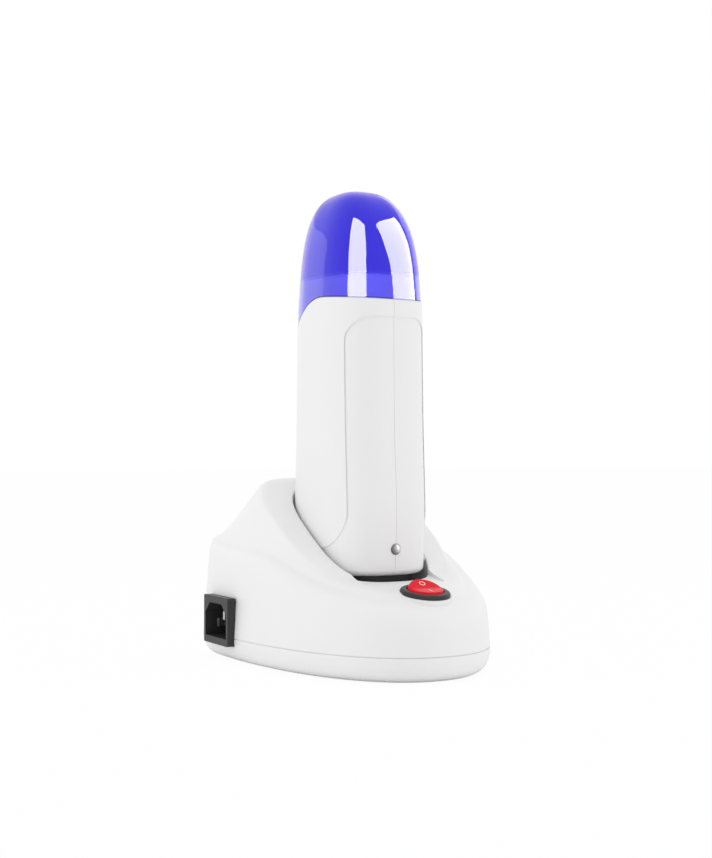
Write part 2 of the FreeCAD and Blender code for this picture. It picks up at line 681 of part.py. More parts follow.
def contact_places():
    return {"left": -CONTACT_X, "right": CONTACT_X}


def pin_shoulder():
    """Height of the step in the block that stops the pin's collar."""
    return POCKET_FLOOR + PIN_SHOULDER_RISE


def collar_bottom():
    return pin_shoulder() - RUNNING_FIT - PIN_COLLAR_HEIGHT


def dock_block():
    pedestal = rounded_prism(PEDESTAL_SIZE[0] / 2, PEDESTAL_SIZE[1] / 2, PEDESTAL_CORNER,
                             POCKET_FLOOR, HANDSET_BOTTOM)
    half_x, half_y = BLOCK_BODY_SIZE[0] / 2, BLOCK_BODY_SIZE[1] / 2
    body = box((-half_x, half_x), (-half_y, half_y), (BLOCK_BOTTOM, POCKET_FLOOR))
    holes = []
    shoulder = pin_shoulder()
    for x in contact_places().values():
        holes.append(upright(PIN_RADIUS + RUNNING_FIT, shoulder, HANDSET_BOTTOM + OVERSHOOT, (x, 0)))
        holes.append(upright(PIN_COLLAR_RADIUS + RUNNING_FIT, BLOCK_BOTTOM - OVERSHOOT, shoulder, (x, 0)))
    for place in dock_screw_places():
        holes.append(upright(SCREW_RADIUS + TINY, 0, dock_screw_top() + TINY, place))
    return pedestal.fuse(body).cut(holes)


def dock_screw_bottom():
    return POCKET_FLOOR - BASE_WALL - SCREW_HEAD_HEIGHT


def dock_screw_top():
    return dock_screw_bottom() + DOCK_SCREW_LENGTH


def contact_pin(x):
    shaft = upright(PIN_RADIUS, collar_bottom(), PIN_TOP, (x, 0))
    tip = [e for e in shaft.Edges if e.BoundBox.ZMin > PIN_TOP - TINY]
    shaft = shaft.makeFillet(PIN_TIP_ROUNDING, tip)
    collar = upright(PIN_COLLAR_RADIUS, collar_bottom(), collar_bottom() + PIN_COLLAR_HEIGHT, (x, 0))
    return shaft.fuse(collar)


def contact_spring(x):
    bottom = BLOCK_BOTTOM + TERMINAL_THICKNESS + SPRING_WIRE / 2
    height = collar_bottom() - SPRING_WIRE / 2 - bottom
    radius = PIN_COLLAR_RADIUS - SPRING_WIRE
    helix = Part.makeHelix(height / SPRING_TURNS, height, radius)
    start = Vector(radius, 0, 0)
    section = Part.Wire([Part.makeCircle(SPRING_WIRE / 2, start, Y_AXIS)])
    coil = Part.Wire(helix.Edges).makePipeShell([section], True, True)
    coil.translate(Vector(x, 0, bottom))
    return coil


def dock_terminal(x):
    disc = upright(PIN_COLLAR_RADIUS, BLOCK_BOTTOM, BLOCK_BOTTOM + TERMINAL_THICKNESS, (x, 0))
    tab = box((x - DOCK_TAB[0] / 2, x + DOCK_TAB[0] / 2), (-DOCK_TAB[1] / 2, DOCK_TAB[1] / 2),
              (BLOCK_BOTTOM - DOCK_TAB[2], BLOCK_BOTTOM))
    return disc.fuse(tab)


# ---------------------------------------------------------------- handset
def handset_ring(z, inset, scale=1.0, lean=0.0):
    half_x = half_width(z) * scale - inset
    half_y = half_depth(z) * scale - inset
    return [(x, y, z) for x, y in oval(half_x, half_y, half_y, lean, HANDSET_POWER, HANDSET_POWER)]


def handset_form(inset):
    """The handset and its cap as one closed form, or their hollow when inset is a wall."""
    bottom = HANDSET_BOTTOM + inset
    rings = []
    for turn in (0, 25, 50, 75, 90):
        lean = turn * pi / 180
        z = bottom + (HANDSET_EDGE_RADIUS - inset) * (1 - cos(lean))
        rings.append(handset_ring(z, inset + HANDSET_EDGE_RADIUS * (1 - sin(lean))))
    start = HANDSET_BOTTOM + HANDSET_EDGE_RADIUS + HANDSET_RING_STEP
    count = int((DOME_START_Z - start) / HANDSET_RING_STEP)
    rings += [handset_ring(start + i * HANDSET_RING_STEP, inset) for i in range(count + 1)]
    height = CAP_TOP - inset - DOME_START_Z
    for turn in (10, 22, 34, 46, 58, 68, 76, 83, 88):
        rise = sin(turn * pi / 180) ** (2 / CAP_DOME_POWER)
        narrowing = cos(turn * pi / 180) ** (2 / CAP_DOME_POWER)
        scale = narrowing * (1 - CAP_TAPER * rise)
        lean = CAP_LEAN * rise ** CAP_LEAN_POWER
        rings.append(handset_ring(DOME_START_Z + height * rise, inset * scale, scale, lean))
    rings.append(handset_ring(CAP_TOP - inset, 0.0, CAP_CROWN, CAP_LEAN))
    return skin_over(rings)


def above_cap_joint(gap):
    """Everything above the joint between handset and cap, seen from the side."""
    reach = 2 * BASE_HALF_WIDTH
    rise, drop = atan(CAP_JOINT_RISE), atan(CAP_JOINT_DROP)
    setback = CAP_JOINT_BEND_RADIUS * tan((rise + drop) / 2)
    corner = Vector(-reach, CAP_JOINT_BEND_Y, CAP_JOINT_BEND_Z + gap)
    uphill, downhill = Vector(0, cos(rise), sin(rise)), Vector(0, cos(drop), -sin(drop))
    bend_start, bend_end = corner - uphill * setback, corner + downhill * setback
    centre = bend_start + Vector(0, sin(rise), -cos(rise)) * CAP_JOINT_BEND_RADIUS
    lean = (drop - rise) / 2
    middle = centre + Vector(0, sin(lean), cos(lean)) * CAP_JOINT_BEND_RADIUS
    near, far = bend_start - uphill * reach, bend_end + downhill * reach
    outline = [bend_end, far, Vector(-reach, far.y, 2 * CAP_TOP), Vector(-reach, near.y, 2 * CAP_TOP),
               near, bend_start]
    edges = [Part.Arc(bend_start, middle, bend_end).toShape()]
    edges += [Part.LineSegment(a, b).toShape() for a, b in zip(outline, outline[1:])]
    return Part.Face(Part.Wire(edges)).extrude(Vector(2 * reach, 0, 0))


def grip_edge_y():
    """Where the grip panel's upright edge lies on the handset's front corner."""
    level = GRIP_SKIRT_Z + GRIP_FLARE_RADIUS
    share = (GRIP_PANEL_HALF_WIDTH / half_width(level)) ** HANDSET_POWER
    return -half_depth(level) * (1 - share) ** (1 / HANDSET_POWER)


def grip_skirt():
    """Everything under the curve in which the grip panel runs out to the broad sides."""
    reach = 2 * BASE_HALF_WIDTH
    start = Vector(-reach, grip_edge_y(), GRIP_SKIRT_Z + GRIP_FLARE_RADIUS)
    centre = start + Y_AXIS * GRIP_FLARE_RADIUS
    middle = centre - (Y_AXIS + Z_AXIS) * (GRIP_FLARE_RADIUS / sqrt(2))
    end = centre - Z_AXIS * GRIP_FLARE_RADIUS
    outline = [end, Vector(-reach, reach, end.z), Vector(-reach, reach, 0), Vector(-reach, -reach, 0),
               Vector(-reach, -reach, start.z), start]
    edges = [Part.Arc(start, middle, end).toShape()]
    edges += [Part.LineSegment(a, b).toShape() for a, b in zip(outline, outline[1:])]
    return Part.Face(Part.Wire(edges)).extrude(Vector(2 * reach, 0, 0))


def grip_panel():
    """The thin layer that the grip panel and the skirt below it lie under the surface."""
    layer = handset_form(0.0).cut(handset_form(GRIP_STEP))
    half = GRIP_PANEL_HALF_WIDTH
    strip = box((-half, half), (-2 * BASE_HALF_WIDTH, 0), (0, GRIP_PANEL_TOP))
    top_corners = [e for e in strip.Edges
                   if abs(e.tangentAt(e.FirstParameter).y) > 0.9 and e.BoundBox.ZMin > GRIP_SKIRT_Z]
    strip = strip.makeFillet(GRIP_PANEL_CORNER, top_corners)
    return layer.common(strip.fuse(grip_skirt()))


def lamp_face_y():
    """Where the grip panel's surface lies behind the indicator lamp."""
    return -half_depth(LAMP_Z) + GRIP_STEP


def handset_screw_places():
    return [(-HANDSET_SCREW_Y, HANDSET_SCREW_Z), (HANDSET_SCREW_Y, HANDSET_SCREW_Z)]


def handset_casing():
    """Both half shells as one piece, with bosses and openings, before they are parted."""
    outside = handset_form(0.0)
    shell = outside.cut([handset_form(HANDSET_WALL), above_cap_joint(0.0), grip_panel()])
    reach = 2 * HALF_WIDTH_LOW
    bosses = [Part.makeCylinder(HANDSET_BOSS_RADIUS, 2 * reach, Vector(-reach, y, z), X_AXIS)
              for y, z in handset_screw_places()]
    inside = handset_form(HANDSET_WALL - 2 * TINY)
    shell = shell.fuse([boss.common(inside) for boss in bosses])
    holes = []
    for x in contact_places().values():
        holes.append(upright(PAD_RADIUS + TINY, 0, handset_floor() + OVERSHOOT, (x, 0)))
    lamp_start = Vector(0, lamp_face_y() - reach / 2, LAMP_Z)
    holes.append(Part.makeCylinder(LAMP_RADIUS + TINY, reach, lamp_start, Y_AXIS))
    head_x = handset_screw_head_x()
    for y, z in handset_screw_places():
        holes.append(Part.makeCylinder(HANDSET_SCREW_HEAD_RADIUS + FIT, reach, Vector(head_x, y, z), X_AXIS))
        shaft_start = Vector(head_x - HANDSET_SCREW_LENGTH, y, z)
        holes.append(Part.makeCylinder(SCREW_RADIUS + TINY, HANDSET_SCREW_LENGTH, shaft_start, X_AXIS))
    return shell.cut(holes)


def handset_screw_head_x():
    return HALF_WIDTH_LOW - HANDSET_SCREW_SINK


def handset_screw(y, z):
    """A screw that points to -X, its head sunk in the right half shell."""
    head_x = handset_screw_head_x()
    head = Part.makeCylinder(HANDSET_SCREW_HEAD_RADIUS, SCREW_HEAD_HEIGHT, Vector(head_x, y, z), X_AXIS)
    drive_start = Vector(head_x + SCREW_HEAD_HEIGHT / 2, y, z)
    drive = Part.makeCylinder(SCREW_DRIVE_RADIUS, SCREW_HEAD_HEIGHT, drive_start, X_AXIS)
    shaft_start = Vector(head_x - HANDSET_SCREW_LENGTH, y, z)
    shaft = Part.makeCylinder(SCREW_RADIUS, HANDSET_SCREW_LENGTH, shaft_start, X_AXIS)
    return head.fuse(shaft).cut(drive)


def half_shell(whole, side):
    reach = 4 * BASE_HALF_WIDTH
    edge = HALF_SHELL_GAP / 2
    kept = (edge, reach) if side > 0 else (-reach, -edge)
    return whole.common(box(kept, (-reach, reach), (0, reach)))


def cap():
    outside = handset_form(0.0)
    return outside.cut(handset_form(CAP_WALL)).common(above_cap_joint(CAP_GAP))


def chamber_prism(grow, bottom, top):
    return rounded_prism(CHAMBER_HALF_WIDTH + grow, CHAMBER_HALF_DEPTH + grow, CHAMBER_CORNER + grow,
                         bottom, top)


def neck_collar():
    """The white mouth of the handset, standing inside the cap around the chamber's top."""
    inset = HANDSET_WALL + FIT
    rings = []
    for share in (0.0, 0.15, 0.3, 0.45, 0.6, 0.75, 0.9, 1.0):
        level = NECK_ROOT + (NECK_TOP - NECK_ROOT) * share
        rings.append(handset_ring(level, inset, 1 - NECK_TAPER * share))
    rings.append(handset_ring(NECK_TOP, inset + NECK_EDGE, 1 - NECK_TAPER))
    lower = chamber_prism(FIT, NECK_ROOT - OVERSHOOT, CHAMBER_TOP + FIT)
    mouth = chamber_prism(-CHAMBER_WALL, NECK_ROOT - OVERSHOOT, NECK_TOP + OVERSHOOT)
    return skin_over(rings).cut([lower, mouth])


def heating_chamber():
    outer = chamber_prism(0.0, CHAMBER_BOTTOM, CHAMBER_TOP)
    inner = chamber_prism(-CHAMBER_WALL, CHAMBER_BOTTOM + CHAMBER_FLOOR, CHAMBER_TOP + OVERSHOOT)
    return outer.cut(inner)


def heater_plate(side):
    flat = CHAMBER_HALF_DEPTH - CHAMBER_CORNER
    near = CHAMBER_HALF_WIDTH if side > 0 else -CHAMBER_HALF_WIDTH - HEATER_THICKNESS
    return box((near, near + HEATER_THICKNESS), (-flat, flat), (HEATER_BOTTOM, HEATER_BOTTOM + HEATER_HEIGHT))


def chamber_cradle():
    """A ring on four legs that carries the chamber above the handset's floor."""
    plate = chamber_prism(-CRADLE_INSET, CHAMBER_BOTTOM - CRADLE_THICKNESS, CHAMBER_BOTTOM)
    window = box((-CRADLE_WINDOW[0], CRADLE_WINDOW[0]), (-CRADLE_WINDOW[1], CRADLE_WINDOW[1]),
                 (handset_floor(), CHAMBER_TOP))
    legs = [upright(CRADLE_LEG_RADIUS, handset_floor(), CHAMBER_BOTTOM - CRADLE_THICKNESS / 2,
                    (x * CRADLE_LEG[0], y * CRADLE_LEG[1])) for x in (-1, 1) for y in (-1, 1)]
    return plate.cut(window).fuse(legs)


def handset_floor():
    return HANDSET_BOTTOM + HANDSET_WALL


def thermostat():
    half_x, half_y, height = THERMOSTAT[0] / 2, THERMOSTAT[1] / 2, THERMOSTAT[2]
    return box((THERMOSTAT_X - half_x, THERMOSTAT_X + half_x), (-half_y, half_y),
               (CHAMBER_BOTTOM - height, CHAMBER_BOTTOM))


def thermal_fuse():
    start = Vector(-FUSE_LENGTH / 2, FUSE_Y, CHAMBER_BOTTOM - FUSE_RADIUS)
    return Part.makeCylinder(FUSE_RADIUS, FUSE_LENGTH, start, X_AXIS)


def contact_pad(x):
    face = upright(PAD_RADIUS, HANDSET_BOTTOM + CONTACT_RECESS, handset_floor(), (x, 0))
    flange = upright(PAD_FLANGE_RADIUS, handset_floor(), handset_floor() + PAD_FLANGE, (x, 0))
    post = upright(PIN_RADIUS, handset_floor(), handset_floor() + PAD_POST, (x, 0))
    return face.fuse([flange, post])


def indicator_lamp():
    """A clear round-topped lens in the seam, with its lamp body behind the wall."""
    face = lamp_face_y()
    body = Part.makeCylinder(LAMP_RADIUS, LAMP_LENGTH, Vector(0, face, LAMP_Z), Y_AXIS)
    radius = (LAMP_RADIUS ** 2 + LAMP_DOME ** 2) / (2 * LAMP_DOME)
    ball = Part.makeSphere(radius, Vector(0, face - LAMP_DOME + radius, LAMP_Z))
    tip = Part.makeCylinder(LAMP_RADIUS, LAMP_DOME, Vector(0, face - LAMP_DOME, LAMP_Z), Y_AXIS)
    return body.fuse(ball.common(tip))


# ---------------------------------------------------------------- wiring
def base_wires():
    """Insulated wires from the inlet to the switch and on to the dock's terminals."""
    blade_x = blade_rear_x()
    tab_foot = switch_frame(Part.Vertex(0, -SWITCH_TAB_PITCH, -SWITCH_DEPTH - SWITCH_TAB[2])).Point
    out_foot = switch_frame(Part.Vertex(0, SWITCH_TAB_PITCH, -SWITCH_DEPTH - SWITCH_TAB[2])).Point
    down = switch_frame(Part.Vertex(0, 0, -1)).Point - switch_frame(Part.Vertex(0, 0, 0)).Point
    line = blade_places()["line"]
    neutral = blade_places()["neutral"]
    tab_end = BLOCK_BOTTOM - DOCK_TAB[2]
    return {
        "wire_inlet_to_switch": [
            (blade_x, line[0], line[1]), (blade_x + BLADE_RUN_OUT, line[0], line[1]), *LINE_ROUTE,
            tuple(tab_foot + down * SWITCH_RUN_OUT), tuple(tab_foot)],
        "wire_switch_to_dock": [
            tuple(out_foot), tuple(out_foot + down * SWITCH_RUN_OUT), *SWITCHED_ROUTE,
            (CONTACT_X, 0, tab_end - DOCK_RUN_OUT), (CONTACT_X, 0, tab_end)],
        "wire_neutral_to_dock": [
            (blade_x, neutral[0], neutral[1]), (blade_x + BLADE_RUN_OUT, neutral[0], neutral[1]),
            *NEUTRAL_ROUTE, (-CONTACT_X, 0, tab_end - DOCK_RUN_OUT), (-CONTACT_X, 0, tab_end)]}


def handset_leads():
    """Thin leads from the contact pads up to the thermostat and to one heater plate."""
    top = handset_floor() + PAD_POST
    side = CHAMBER_HALF_WIDTH + LEAD_DIAMETER
    return {
        "lead_to_thermostat": [(CONTACT_X, 0, top), (CONTACT_X, 0, CHAMBER_BOTTOM - THERMOSTAT[2])],
        "lead_to_heater": [(-CONTACT_X, 0, top), (-CONTACT_X, 0, CHAMBER_BOTTOM - LEAD_TURN_OUT),
                           (-side, 0, CHAMBER_BOTTOM - LEAD_TURN_UP), (-side, 0, HEATER_BOTTOM)]}


# ---------------------------------------------------------------- assembly
def build():
    whole = casing()
    parts = {"base_upper_shell": upper_shell(whole), "base_bottom_tray": bottom_tray(whole)}
    for name, place in foot_places().items():
        parts["foot_" + name] = rubber_foot(place)
    parts["base_screws"] = Part.Compound([screw(place, TRAY_BOTTOM + SCREW_RECESS - SCREW_HEAD_HEIGHT,
                                                SCREW_LENGTH) for place in screw_places()])
    parts["inlet_housing"] = inlet_housing()
    for name, place in blade_places().items():
        parts["inlet_pin_" + name] = blade(*place)
    parts["switch_housing"] = switch_housing()
    parts["switch_rocker"] = switch_rocker()
    parts["switch_lamp"] = switch_lamp()
    parts["switch_terminals"] = Part.Compound([switch_frame(terminal_tab(y)) for y in switch_tab_places()])
    parts["dock_block"] = dock_block()
    parts["dock_screws"] = Part.Compound([screw(place, dock_screw_bottom(), DOCK_SCREW_LENGTH)
                                          for place in dock_screw_places()])
    for name, x in contact_places().items():
        parts["contact_pin_" + name] = contact_pin(x)
        parts["contact_spring_" + name] = contact_spring(x)
        parts["dock_terminal_" + name] = dock_terminal(x)
        parts["contact_pad_" + name] = contact_pad(x)
    shells = handset_casing()
    parts["handset_left_shell"] = half_shell(shells, -1)
    parts["handset_right_shell"] = half_shell(shells, 1)
    parts["handset_screws"] = Part.Compound([handset_screw(y, z) for y, z in handset_screw_places()])
    parts["neck_collar"] = neck_collar()
    parts["heating_chamber"] = heating_chamber()
    parts["heater_plate_left"] = heater_plate(-1)
    parts["heater_plate_right"] = heater_plate(1)
    parts["chamber_cradle"] = chamber_cradle()
    parts["thermostat"] = thermostat()
    parts["thermal_fuse"] = thermal_fuse()
    parts["indicator_lamp"] = indicator_lamp()
    parts["cap"] = cap()
    for name, points in base_wires().items():
        parts[name] = tube_along(name, points, WIRE_DIAMETER)
    for name, points in handset_leads().items():
        parts[name] = tube_along(name, points, LEAD_DIAMETER)
    return parts


def main():
    os.makedirs("parts", exist_ok=True)
    for name, shape in build().items():
        shape.exportStep(os.path.join("parts", name + ".step"))
        print(name, len(shape.Solids), round(shape.Volume, 1), shape.isValid())


main()
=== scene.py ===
# %% [markdown]
# # A roll-on wax heater in its charging base
#
# The object is a hand-held heater for wax cartridges. It stands in the sloping pocket of a
# mains-powered base and wears a clear blue cap. Its solids come from the CAD frame, at their real
# size. What is made here is what a solid doesn't hold: the finish of each surface, the rocker's
# moulded edges and its two marks, the cross recesses of the screws, and a plain studio to see it
# all in.
#
# We start by loading the frame.

# %% Load the frame
import json
from math import asin, atan, cos, exp, hypot, log, pi, radians, sin, sqrt, tan

import bmesh
import bpy
from mathutils import Matrix, Vector


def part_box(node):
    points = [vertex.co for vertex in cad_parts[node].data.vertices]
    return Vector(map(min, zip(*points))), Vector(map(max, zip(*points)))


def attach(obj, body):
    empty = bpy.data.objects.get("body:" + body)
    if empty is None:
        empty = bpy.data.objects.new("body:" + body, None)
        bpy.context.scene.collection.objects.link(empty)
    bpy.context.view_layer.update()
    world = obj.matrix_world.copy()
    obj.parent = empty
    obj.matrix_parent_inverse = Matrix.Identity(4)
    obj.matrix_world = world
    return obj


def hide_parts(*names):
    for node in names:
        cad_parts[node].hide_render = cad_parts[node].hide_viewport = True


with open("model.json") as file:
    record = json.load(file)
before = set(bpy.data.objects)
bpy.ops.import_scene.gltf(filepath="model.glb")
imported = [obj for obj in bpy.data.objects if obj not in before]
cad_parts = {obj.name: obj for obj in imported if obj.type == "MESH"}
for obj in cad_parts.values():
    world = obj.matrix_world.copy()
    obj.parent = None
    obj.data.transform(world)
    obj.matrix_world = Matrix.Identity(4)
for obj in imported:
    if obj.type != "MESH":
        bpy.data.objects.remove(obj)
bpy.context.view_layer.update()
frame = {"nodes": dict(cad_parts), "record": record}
nodes = frame["nodes"]
MM = 0.001

# %% [markdown]
# ## The camera
#
# The camera stands level, a little above half the handset's height, and looks past the switch at
# the corner between the base's front and its inlet side. A level camera keeps uprights upright;
# the frame is placed with a small vertical shift, as with a view camera, and not by tilting.

# %% Place the camera
CAMERA_PLACE = (-0.3413, -0.5881, 0.1033)
CAMERA_TURN = -30.0
CAMERA_LENS = 70.1
CAMERA_SHIFT = 0.0295

camera_data = bpy.data.cameras.new("camera")
camera_data.lens = CAMERA_LENS
camera_data.sensor_width = 36.0
camera_data.sensor_fit = "HORIZONTAL"
camera_data.shift_y = CAMERA_SHIFT
camera = bpy.data.objects.new("camera", camera_data)
camera.location = CAMERA_PLACE
camera.rotation_euler = (radians(90), 0, radians(CAMERA_TURN))
bpy.context.scene.collection.objects.link(camera)
bpy.context.scene.camera = camera
bpy.context.scene.view_settings.view_transform = "Standard"
print("camera at", CAMERA_PLACE)

# %% [markdown]
# ## A small language for shaders
#
# A material is a graph of nodes, and sums are tedious to wire by hand. `Value` wraps a socket so
# that `1 - mask * 0.3` adds the Math nodes by itself. `Finish` is a material being made. Its method
# `node` adds any other node, sets its settings, and fills or links its sockets; the methods after
# it are shorthands for what most finishes need.

# %% Shader helpers
class Value:
    """A number that varies over a surface, as the output socket of a node."""

    def __init__(self, finish, socket):
        self.finish = finish
        self.socket = socket

    def combined(self, operation, first, second):
        made = self.finish.node("ShaderNodeMath", {"operation": operation}, {0: first, 1: second})
        return Value(self.finish, made.outputs[0])

    def __add__(self, other):
        return self.combined("ADD", self, other)

    def __sub__(self, other):
        return self.combined("SUBTRACT", self, other)

    def __mul__(self, other):
        return self.combined("MULTIPLY", self, other)

    def __rsub__(self, other):
        return self.combined("SUBTRACT", other, self)

    __radd__ = __add__
    __rmul__ = __mul__


class Finish:
    """A procedural material: a Principled shader and the nodes that feed it."""

    def __init__(self, name):
        self.material = bpy.data.materials.new(name)
        self.material.use_nodes = True
        self.tree = self.material.node_tree
        self.tree.nodes.clear()
        self.surface = self.node("ShaderNodeBsdfPrincipled")
        self.output = self.node("ShaderNodeOutputMaterial", {}, {"Surface": self.surface.outputs[0]})
        self.place = self.node("ShaderNodeTexCoord").outputs["Object"]

    def node(self, kind, settings=(), sockets=()):
        made = self.tree.nodes.new(kind)
        for name, value in dict(settings).items():
            setattr(made, name, value)
        for name, value in dict(sockets).items():
            self.feed(made, name, value)
        return made

    def feed(self, node, name, value):
        if isinstance(value, Value):
            value = value.socket
        if isinstance(value, bpy.types.NodeSocket):
            self.tree.links.new(value, node.inputs[name])
        else:
            node.inputs[name].default_value = value

    def noise(self, size, detail=2.0, stretch=(1, 1, 1)):
        """Soft noise from 0 to 1 whose blotches are about as wide as size, in metres."""
        scaled = self.node("ShaderNodeMapping", {}, {"Vector": self.place, "Scale": stretch})
        made = self.node("ShaderNodeTexNoise", {}, {"Vector": scaled.outputs[0], "Scale": 1 / size,
                                                    "Detail": detail})
        return Value(self, made.outputs[0])

    def mixed(self, share, first, second):
        """A colour between two colours."""
        made = self.node("ShaderNodeMix", {"data_type": "RGBA"}, {"Factor": share})
        colours = [socket for socket in made.inputs if socket.type == "RGBA"]
        for socket, colour in zip(colours, (first, second)):
            if isinstance(colour, bpy.types.NodeSocket):
                self.tree.links.new(colour, socket)
            else:
                socket.default_value = (*colour, 1)
        return next(socket for socket in made.outputs if socket.type == "RGBA")

    def bump(self, height, depth, strength=1.0):
        """A relief whose height value of 1 stands depth metres proud."""
        made = self.node("ShaderNodeBump", {}, {"Height": height, "Distance": depth,
                                                "Strength": strength})
        self.feed(self.surface, "Normal", made.outputs[0])

    def set(self, **values):
        for name, value in values.items():
            self.feed(self.surface, name.replace("_", " "), value)
        return self


print("shader helpers ready")

# %% [markdown]
# ## Moulded plastics
#
# Most of the object is injection-moulded. The white is a satin ABS: not one flat white, but with a
# very faint cloudiness, gloss that drifts a little over the surface, and the fine orange peel that
# polished moulds leave. The black fittings are harder and more matt, with a spark-eroded grain.
#
# Image textures could be laid over the pieces, but each piece would have to be unwrapped for them.
# Noise on Object coordinates needs neither, and its grain has the same size on every piece.

# %% Plastic finishes
FINISHES = {}                   # every material of the object, under its name
CLOUD_SIZE = 35 * MM            # of the blotches in a moulded colour


def moulded_plastic(name, dark, light, gloss, grain, shine=0.5):
    """A plastic that drifts between two shades; grain is the width and depth of its relief."""
    finish = Finish(name)
    cloud = finish.noise(CLOUD_SIZE)
    finish.bump(finish.noise(grain[0], detail=4.0), grain[1])
    finish.set(Base_Color=finish.mixed(cloud, dark, light), Roughness=gloss + 0.05 * (cloud - 0.5))
    finish.surface.inputs["IOR"].default_value = 1.5
    finish.surface.inputs["Specular IOR Level"].default_value = shine
    FINISHES[name] = finish.material


POLISHED = (0.6 * MM, 0.004 * MM)
SPARKED = (0.35 * MM, 0.01 * MM)
WAVY = (1.0 * MM, 0.01 * MM)

moulded_plastic("white_plastic", (0.835, 0.835, 0.835), (0.86, 0.86, 0.86), 0.34, POLISHED)
moulded_plastic("neck_plastic", (0.86, 0.86, 0.87), (0.89, 0.89, 0.90), 0.4, POLISHED)
moulded_plastic("black_plastic", (0.028, 0.028, 0.029), (0.040, 0.040, 0.041), 0.38, SPARKED, shine=0.25)
moulded_plastic("thermostat_plastic", (0.05, 0.03, 0.02), (0.08, 0.05, 0.03), 0.55, (0.5 * MM, 0.02 * MM))
moulded_plastic("foot_rubber", (0.020, 0.020, 0.021), (0.035, 0.035, 0.036), 0.75, (0.4 * MM, 0.03 * MM))
moulded_plastic("wire_brown", (0.12, 0.05, 0.025), (0.16, 0.07, 0.035), 0.45, WAVY)
moulded_plastic("wire_blue", (0.02, 0.08, 0.35), (0.03, 0.11, 0.42), 0.45, WAVY)
moulded_plastic("lead_white", (0.62, 0.62, 0.58), (0.70, 0.70, 0.66), 0.5, WAVY)
moulded_plastic("mark_ink", (0.90, 0.72, 0.58), (0.95, 0.80, 0.66), 0.4, (0.4 * MM, 0.002 * MM))
moulded_plastic("heater_ceramic", (0.50, 0.25, 0.06), (0.62, 0.33, 0.10), 0.3, (4.0 * MM, 0.01 * MM))
print("plastics", sorted(FINISHES))

# %% [markdown]
# ## Clear plastics
#
# The cap is dyed right through and polished inside and out, so light that crosses both of its walls
# leaves a deep blue. Its lower edge, which slips over the handset's neck, is moulded thinner, and
# a thinner wall is paler: there the white neck shows through. Along the very edge, by the joint,
# its colour is almost black: painted shade for the shadow in the gap between cap and handset.
#
# Alpha would be a quick way to see through the cap, but it bends nothing, so Transmission is used,
# on a closed wall of real thickness. Volume Absorption could deepen the dye with the wall. A colour
# that depends on the height was chosen instead, because it sets the deep part, the skirt and the
# painted shade at the edge one by one. That shade follows the joint, which runs up, over and down
# in a soft bend.
#
# The rocker is dyed red and glows a little: a weak emission, painted light that brightens its red.
# The indicator in the handset is a smoky lens whose colour darkens towards its rim: painted shade
# for the dark edge that a clear dome shows.

# %% Clear finishes
DRIFT_SIZE = 30 * MM
SKIRT_STEP = (186.4 * MM, 187.2 * MM)   # heights between which the cap's wall gets thicker
JOINT_BEND = (1.3 * MM, 176.8 * MM)     # y and z of the place where the joint turns down
JOINT_RISE, JOINT_DROP = 0.08, -0.65    # its two slopes
JOINT_SOFTNESS = 10.0 * MM
# The cap's colour darkens to near black along the joint: painted shade for the shadow in the gap there,
# which ends between these heights.
JOINT_SHADE_BAND = (0.45 * MM, 0.8 * MM)       # the dark edge ends between these heights above the joint
# The first of these colours is that painted shade of the joint.
JOINT_SHADE_COLOUR, SKIRT_DYE, DEEP_DYE = (0.03, 0.02, 0.12), (0.28, 0.26, 0.90), (0.11, 0.05, 0.84)
# The darker second grey is painted shade at the lens's rim, for the dark edge a clear dome shows.
LENS_GREY, LENS_RIM_SHADE = (0.22, 0.22, 0.23), (0.11, 0.11, 0.12)


def dyed_clear(name, dye, polish, clarity):
    """A clear plastic or glass; dye is a rule that makes its colour in the finish it is given."""
    finish = Finish(name)
    finish.set(Base_Color=dye(finish), Roughness=polish + 0.01 * finish.noise(DRIFT_SIZE))
    finish.surface.inputs["Transmission Weight"].default_value = clarity
    finish.surface.inputs["IOR"].default_value = 1.49
    FINISHES[name] = finish.material
    return finish


def drifting(first, second):
    """A dye that drifts softly from one colour to another."""
    return lambda finish: finish.mixed(finish.noise(DRIFT_SIZE), first, second)


def ramp(finish, value, low, high):
    """0 where the value is low and 1 where it is high."""
    made = finish.node("ShaderNodeMapRange", {}, {"Value": value, "From Min": low, "From Max": high})
    return Value(finish, made.outputs[0])


def cap_dye_and_joint_shade(finish):
    """The colour of the cap's wall: painted shade, near black, along its edge at the joint, pale on its
    skirt, deep above.
    """
    place = finish.node("ShaderNodeSeparateXYZ", {}, {0: finish.place}).outputs
    along = Value(finish, place["Y"]) - JOINT_BEND[0]
    height = Value(finish, place["Z"])
    joint = finish.node("ShaderNodeMath", {"operation": "SMOOTH_MIN"},
                        {0: along * JOINT_RISE, 1: along * JOINT_DROP, 2: JOINT_SOFTNESS}).outputs[0]
    above = height - JOINT_BEND[1] - Value(finish, joint)
    wall = finish.mixed(ramp(finish, height, *SKIRT_STEP), SKIRT_DYE, DEEP_DYE)
    # Painted shade: near black along the joint, for the shadow in the gap there.
    return finish.mixed(ramp(finish, above, *JOINT_SHADE_BAND), JOINT_SHADE_COLOUR, wall)


def lens_grey_and_rim_shade(finish):
    """The colour of the indicator lens, with painted shade that darkens it towards its rim."""
    away = finish.node("ShaderNodeVectorMath", {"operation": "DISTANCE"},
                       {0: finish.place, 1: tuple(LENS_MIDDLE)}).outputs["Value"]
    return finish.mixed(ramp(finish, away, 0.45 * LENS_RADIUS, LENS_RADIUS), LENS_GREY, LENS_RIM_SHADE)


lens_low, lens_high = (Vector(corner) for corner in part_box("indicator_lamp"))
LENS_RADIUS = (lens_high.x - lens_low.x) / 2
LENS_MIDDLE = Vector((0, lens_low.y, (lens_low.z + lens_high.z) / 2))

